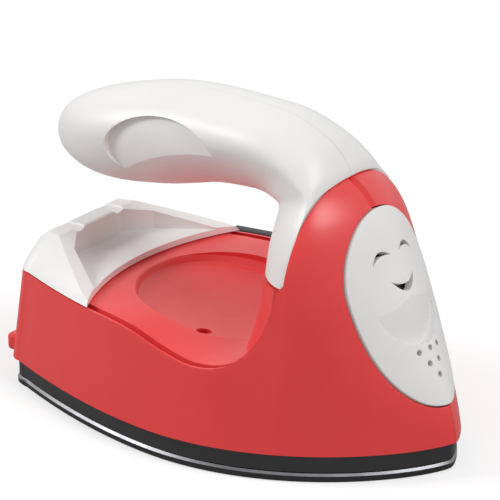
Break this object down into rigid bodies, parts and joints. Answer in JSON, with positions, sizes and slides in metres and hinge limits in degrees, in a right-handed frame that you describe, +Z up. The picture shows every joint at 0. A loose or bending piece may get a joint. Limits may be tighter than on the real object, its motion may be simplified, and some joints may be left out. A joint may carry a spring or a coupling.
{
  "type": "mini heat press",
  "caption": "Small handheld heat press with a pointed flat soleplate, a hood, an arched handle, a rear cover, an oval front plate and a side slide switch.",
  "frame": {"origin": "middle of the object's box in plan, at the underside of the soleplate", "axes": "+X to the soleplate's point, +Y to the object's left, +Z up"},
  "size_m": [0.1064, 0.069, 0.0717],
  "materials": {
    "red_plastic": "moulded, satin gloss",
    "deck_red_plastic": "moulded, satin gloss",
    "white_plastic": "moulded, satin",
    "sole_coat": "cast, black non-stick coat",
    "phenolic": "moulded phenolic",
    "switch_slate": "fine texture",
    "nylon_black": "moulded nylon",
    "rubber_black": "moulded",
    "diffuser": "smoked, translucent",
    "board": "laminate with solder mask",
    "lamp_lens": "clear coloured epoxy",
    "mica": "pressed mica",
    "felt": "ceramic fibre felt",
    "steel": "zinc plated",
    "thermostat_metal": "pressed",
    "thermostat_brown": "moulded phenolic",
    "fuse_ceramic": "unglazed",
    "terminal_nylon": "natural nylon",
    "lead_red": "silicone sleeve",
    "lead_black": "silicone sleeve",
    "lead_white": "silicone sleeve",
    "lead_blue": "silicone sleeve"
  },
  "bodies": {
    "press": {"body_left": "red_plastic", "body_right": "red_plastic", "body_screw_1": "steel", "body_screw_2": "steel", "body_screw_3": "steel", "bracket_screw_1": "steel", "bracket_screw_2": "steel", "clamp_screw_1": "steel", "clamp_screw_2": "steel", "cord_clamp": "nylon_black", "cord_gland": "rubber_black", "deck": "deck_red_plastic", "deck_screw_1": "steel", "deck_screw_2": "steel", "front_plate": "white_plastic", "fuse_clip": "steel", "handle_left": "white_plastic", "handle_right": "white_plastic", "handle_screw_1": "steel", "handle_screw_2": "steel", "handle_screw_3": "steel", "heater_sheet": "mica", "insulation_sheet": "felt", "insulator_band": "phenolic", "lamp_board": "board", "lamp_left": "lamp_lens", "lamp_right": "lamp_lens", "lead_fuse": "lead_red", "lead_heater_front": "lead_white", "lead_heater_rear": "lead_blue", "lead_lamp_left": "lead_black", "lead_lamp_right": "lead_red", "lead_link": "lead_black", "lead_switch_high": "lead_blue", "lead_switch_low": "lead_white", "pressure_plate": "steel", "pressure_screw_1": "steel", "pressure_screw_2": "steel", "rear_cover": "white_plastic", "slot_diffuser": "diffuser", "soleplate": "sole_coat", "switch_case": "steel", "terminal_block": "terminal_nylon", "thermal_fuse": "fuse_ceramic", "thermostat_body": "thermostat_brown", "thermostat_bracket": "steel", "thermostat_cap": "thermostat_metal"},
    "switch": {"switch_button": "switch_slate", "switch_lever": "nylon_black"}
  },
  "joints": [
    {"name": "switch_slide", "type": "slide", "parent": "press", "child": "switch", "axis": [0.9829, 0.1839, 0], "range_m": [0, 0.004]}
  ]
}
